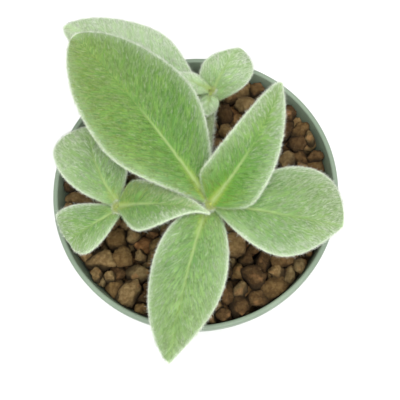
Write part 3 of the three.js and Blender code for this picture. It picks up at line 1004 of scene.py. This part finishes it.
def upper_hairs(leaf, line, random):
    """Tufts whose hairs start side by side and end close together, so that they read as streaks. They
    are thin on the midrib, which shows as a light line, and on the side veins."""
    s, t = random_spots(leaf, TUFT_DENSITY * (1 + 0.3 * leaf.grey), random)
    middle, side_vein = veins(leaf, s, t, half_width(leaf, s, t))
    bare = np.maximum(1.25 * middle * np.clip(1.6 - s, 0, 1), 0.6 * side_vein)
    kept = random.uniform(size=len(s)) > bare
    s, t = s[kept], t[kept]
    away = np.abs(t) * half_width(leaf, s, t)
    inside = margin_distance(leaf, s, t)
    root, along, left, up = blade_surface(leaf, line, s, t, 1)
    rise = np.radians(random.uniform(*UPPER_RISE, len(s)))
    lean = combed(along, left, up, t, comb_angle(leaf, s, t, random), rise)
    young = 0.7 + 0.3 * min(1, leaf.length / FULL_GROWN)
    short = 0.45 + 0.55 * np.clip(inside / 0.0035, 0, 1)
    length = young * random.uniform(*UPPER_LENGTH, len(s)) * short
    tone = scattered(random, paleness(leaf, s, away, inside), 0.24)
    tuft = (
        root,
        root + lean * length[:, None],
        lean,
        np.cross(lean, up),
        TUFT_WIDTH * np.clip(away / 0.0012, 0.3, 1),
        tone,
        warmth(leaf, s, t),
    )
    root, tip, lean, side, spread, tone, warm = (np.repeat(part, HAIRS_PER_TUFT, axis=0) for part in tuft)
    count = len(tip)
    start = root + side * (spread * random.normal(size=count))[:, None]
    start = start + lean * random.uniform(-TUFT_SCATTER, TUFT_SCATTER, count)[:, None]
    span = tip + random.normal(0, TUFT_TIP_SCATTER, (count, 3)) - start
    lengths = np.linalg.norm(span, axis=1)
    directions = span / lengths[:, None]
    radii = HAIR_RADIUS * random.uniform(0.7, 1.3, count)
    return start - directions * TUFT_ROOT, directions, lengths + TUFT_ROOT, radii, tone, warm


def under_hairs(leaf, line, random):
    s, t = random_spots(leaf, UNDER_DENSITY, random)
    count = len(s)
    root, along, left, up = blade_surface(leaf, line, s, t, -1)
    rise = -np.radians(random.uniform(*UNDER_RISE, count))
    directions = combed(along, left, up, t, comb_angle(leaf, s, t, random), rise)
    sizes = hair_sizes(random, count, UNDER_LENGTH, 1.6)
    tone = scattered(random, 0.75, 0.15, count)
    return root - directions * HAIR_ROOT, directions, *sizes, tone, np.zeros(count)


def fringe_hairs(leaf, line, random, density, lengths, inset):
    """Two batches of white hairs that stand out from the margins, rooted up to this far inside."""
    batches = []
    for side in (-1.0, 1.0):
        fine = np.linspace(0.02, BLADE_END, 600)
        edge = blade_surface(leaf, line, fine, side, 1)[0]
        reach = running_length(edge)
        tangent = unit(np.gradient(edge, reach, axis=0))
        count = int(reach[-1] * density)
        spot = random.uniform(0, reach[-1], count)
        s = np.interp(spot, reach, fine)
        ahead = along_track(spot, reach, tangent)
        t = side * (1 - inset * random.uniform(size=count) ** 2 / half_width(leaf, s, side))
        root, along, left, up = blade_surface(leaf, line, s, np.clip(t, -1, 1), 1)
        outward = side * unit(np.cross(up, ahead))
        forward = np.radians(random.uniform(0, 65, count))
        rise = np.radians(random.uniform(-25, 40, count))
        directions = unit(lean_to(lean_to(outward, ahead, forward), up, rise))
        sizes = hair_sizes(random, count, lengths, 1.25)
        tone = 0.3 + 0.7 * np.clip(s * leaf.length / 0.009, 0, 1)
        batches.append((root - directions * HAIR_ROOT, directions, *sizes, tone, np.zeros(count)))
    return batches


def random_spokes(along, random):
    """A direction square to each of these, turned at random."""
    return lean_to(*across(along), random.uniform(0, 2 * pi, len(along)))


def bud_hairs(line, random):
    """Short yellowish hairs over the bud and onto the leaf bases round it."""
    count = BUD_HAIRS
    top = np.full(count, line.reach[-1])
    along = line.direction(top)
    spoke = random_spokes(along, random)
    out = np.sqrt(random.uniform(size=count))
    root = line.at(top) + spoke * (out * STEM_TIP_RADIUS)[:, None]
    root = root + along * (BUD_HEIGHT * np.sqrt(1 - 0.9 * out**2))[:, None]
    directions = lean_to(spoke, along, np.radians(random.uniform(*BUD_RISE, count)))
    directions = unit(directions + random.normal(0, 0.25, (count, 3)))
    sizes = hair_sizes(random, count, BUD_LENGTH, 1.3)
    tone = scattered(random, 0.75, 0.2, count)
    return root, directions, *sizes, tone, scattered(random, 0.65, 0.2, count)


def stem_hairs(line, random):
    """Hairs that stand out round a stem, leaning to the tip."""
    count = STEM_HAIRS
    length = line.reach[-1]
    distance = length * random.uniform(0.12, 1.0, count) ** 0.8
    along = line.direction(distance)
    spoke = random_spokes(along, random)
    root = line.at(distance) + spoke * (0.97 * stem_radius(distance / length))[:, None]
    directions = unit(lean_to(spoke, along, np.radians(random.uniform(*STEM_RISE, count))))
    directions = unit(directions + random.normal(0, 0.15, (count, 3)))
    sizes = hair_sizes(random, count, STEM_LENGTH, 1.4)
    return root, directions, *sizes, scattered(random, 0.95, 0.1, count), np.zeros(count)


# Granules


def ball(cuts):
    """Points and quads of a unit ball, from a cube with this many squares along each edge."""
    made = bmesh.new()
    bmesh.ops.create_cube(made, size=2.0)
    bmesh.ops.subdivide_edges(made, edges=made.edges[:], cuts=cuts - 1, use_grid_fill=True)
    points = unit(np.array([v.co for v in made.verts]))
    faces = np.array([[v.index for v in f.verts] for f in made.faces])
    made.free()
    return points, faces


def pebble(random, points):
    """A unit ball worn flat on some sides, then lumped, stretched and turned at random."""
    flats = unit(random.normal(size=(FLAT_COUNT, 3)))
    cuts = random.uniform(*FLAT_CUT, FLAT_COUNT)
    for flat, cut in zip(flats, cuts):
        over = np.clip(points @ flat - cut, 0, None)
        points = points - flat * (FLAT_WEAR * over)[:, None]
    start = Vector(random.uniform(0, 90, 3))
    lumps = [sum(height * noise.noise(wave * Vector(p) + start) for wave, height in LUMPS) for p in points]
    points = points * (1 + np.array(lumps))[:, None]
    scale = (GRAIN_LENGTH, random.uniform(*GRAIN_WIDTH), random.uniform(*GRAIN_THICKNESS))
    turn = np.linalg.qr(random.normal(size=(3, 3)))[0]
    return (points * scale) @ (turn * np.sign(np.linalg.det(turn))).T


def resting_heights(spots, radius, placed, floor):
    """How high a grain of this radius lies at each spot, on those already there or on the floor."""
    apart = np.linalg.norm(spots[:, None] - placed[None, :, :2], axis=-1)
    reach = GRAIN_TOUCH * (placed[:, 3] + radius)
    heights = placed[:, 2] + np.sqrt(np.clip(reach**2 - apart**2, 0, None))
    return np.where(apart < reach, heights, floor).max(axis=1)


def settle_grains(random):
    """Drops grains one by one, as x, y, z and radius. Each tries a few places, rolls down there over
    those below until it lies in a dip, and stays at its lowest place. The pot is full when too many
    in a row would lie too high. Then a last ring of grains goes in along the wall where there is room,
    and the pile is made to rise a little to the wall."""
    floor = SOIL_LEVEL - PILE_DEPTH
    placed = np.array([[0.0, 0.0, SOIL_LEVEL + TUBER_TOP - TUBER_RADIUS, TUBER_RADIUS]])
    turns = np.arange(8) * pi / 4
    compass = np.stack([np.cos(turns), np.sin(turns)], -1)

    def new_grain():
        radius = GRAIN_RADIUS[0] + (GRAIN_RADIUS[1] - GRAIN_RADIUS[0]) * random.beta(1.5, 1.7)
        return radius, inner_radius(SOIL_LEVEL) - WALL_TOUCH * radius, random.uniform(0, 2 * pi)

    misses = 0
    while misses < MISSES_WHEN_FULL:
        radius, limit, _ = new_grain()
        rests = []
        for _ in range(DROPS_PER_GRAIN):
            out, turn = limit * random.uniform() ** DROP_SPREAD, random.uniform(0, 2 * pi)
            spot = np.array([[out * cos(turn), out * sin(turn)]])
            step = ROLL_STEP * radius
            while step > ROLL_END:
                tries = np.concatenate([spot, spot + compass * step])
                tries = tries * np.minimum(1, limit / np.linalg.norm(tries, axis=1))[:, None]
                heights = resting_heights(tries, radius, placed, floor)
                lowest = heights.argmin()
                if lowest == 0:
                    step /= 2
                spot = tries[lowest : lowest + 1]
            rests.append((heights[lowest], *spot[0]))
        z, x, y = min(rests)
        if z > SOIL_LEVEL + PILE_TOP:
            misses += 1
        else:
            misses = 0
            placed = np.concatenate([placed, [[x, y, z, radius]]])
    for _ in range(WALL_TRIES):
        radius, limit, turn = new_grain()
        spot = limit * np.array([[cos(turn), sin(turn)]])
        z = resting_heights(spot, radius, placed, floor)[0]
        if z < SOIL_LEVEL + WALL_TOP:
            placed = np.concatenate([placed, [[*spot[0], z, radius]]])
    grains = placed[1:]
    out = np.hypot(grains[:, 0], grains[:, 1]) / inner_radius(SOIL_LEVEL)
    grains[:, 2] += RISE_AT_WALL * out**4
    grains[:, 2] = np.minimum(grains[:, 2], POT_HEIGHT - 0.001 - grains[:, 3])
    return grains


def seen_from_above(grains):
    """Which grains show to a viewer above the pot, each over more than a few cells of a fine grid."""
    axis = np.linspace(-RIM_RADIUS, RIM_RADIUS, 300)
    x, y = np.meshgrid(axis, axis)
    top, owner = np.zeros(x.shape), np.full(x.shape, -1)
    for number, (grain_x, grain_y, z, radius) in enumerate(grains):
        cap = radius**2 - (x - grain_x) ** 2 - (y - grain_y) ** 2
        height = np.where(cap > 0, z + np.sqrt(np.clip(cap, 0, None)), 0)
        owner = np.where(height > top, number, owner)
        top = np.maximum(height, top)
    numbers, cells = np.unique(owner, return_counts=True)
    return np.isin(np.arange(len(grains)), numbers[cells > 12])


def make_granules():
    """The top layers of grains, fine where they show, on a plain fill, as one piece."""
    random = np.random.default_rng(17)
    fine, plain = ball(6), ball(3)
    foot, fill_top = FLOOR + FILL_LIFT, SOIL_LEVEL - PILE_DEPTH
    profile = [(inner_radius(foot) - 0.0025, foot)]
    profile += [(inner_radius(z) - FILL_GAP, z) for z in (foot + FILL_BEVEL, fill_top)]
    points, faces = turned(profile, 64)
    parts, tones, tops, quads = [points], [np.zeros(len(points))], [np.zeros(len(points))], [faces[0]]
    grains = settle_grains(random)
    for (x, y, z, radius), seen in zip(grains, seen_from_above(grains)):
        ball_points, ball_faces = fine if seen else plain
        quads.append(ball_faces + sum(len(part) for part in parts))
        shape = pebble(random, ball_points) * GRAIN_SWELL
        grain = shape * radius + (x, y, z)
        room = (inner_radius(grain[:, 2]) - GRAIN_GAP) / np.hypot(grain[:, 0], grain[:, 1])
        grain[:, :2] *= np.minimum(1, room)[:, None]
        parts.append(grain)
        tones.append(np.full(len(ball_points), random.uniform()))
        tops.append(shape[:, 2])
    marks = {"tone": np.concatenate(tones), "top": np.concatenate(tops)}
    every_face = [np.concatenate(quads), faces[1]]
    piece = mesh_object("granules_pile", np.concatenate(parts), every_face, granule_material(), **marks)
    place_piece(piece, "granules", "granules")


# Tuber


def make_tuber():
    """A lobed corky tuber with shallow cracks."""
    points, faces = ball(28)
    middle = (TUBER_TOP + TUBER_BOTTOM) / 2
    half_height = (TUBER_TOP - TUBER_BOTTOM) / 2
    flat = np.hypot(points[:, 0], points[:, 1])
    lobes = np.cos(TUBER_LOBES * np.arctan2(points[:, 1], points[:, 0])) * flat
    radius = TUBER_RADIUS + TUBER_LOBE_DEPTH * lobes
    height = middle + points[:, 2] * half_height
    made = np.stack([points[:, 0] * radius, points[:, 1] * radius, SOIL_LEVEL + height], -1)
    first, second = (np.sin(made @ np.array(wave)) for wave in TUBER_CRACKS)
    made = made - points * (TUBER_CRACK_DEPTH * np.clip(first * second, 0, 1))[:, None]
    piece = mesh_object("tuber_skin", made, [faces], tuber_material())
    place_piece(piece, "tuber", "tuber")


# Plant


def make_plant():
    """Stems and leaves with their hairs. Each has random draws of its own."""
    silver = hair_material()
    for number, stem in enumerate(STEMS):
        random = np.random.default_rng(100 + number)
        line = make_stem(stem, random)
        batches = [stem_hairs(line, random), bud_hairs(line, random)]
        make_hairs("stem_" + stem + "_hairs", "stem", batches, silver)
    for number, (name, leaf) in enumerate(LEAVES.items()):
        random = np.random.default_rng(200 + number)
        line = midrib_line(leaf)
        make_blade(name, leaf, line)
        batches = [
            upper_hairs(leaf, line, random),
            under_hairs(leaf, line, random),
            *fringe_hairs(leaf, line, random, *FRINGE),
            *fringe_hairs(leaf, line, random, *LONG_FRINGE),
        ]
        make_hairs(name + "_hairs", "leaf", batches, silver)


make_studio()
make_pot()
make_granules()
make_tuber()
make_plant()
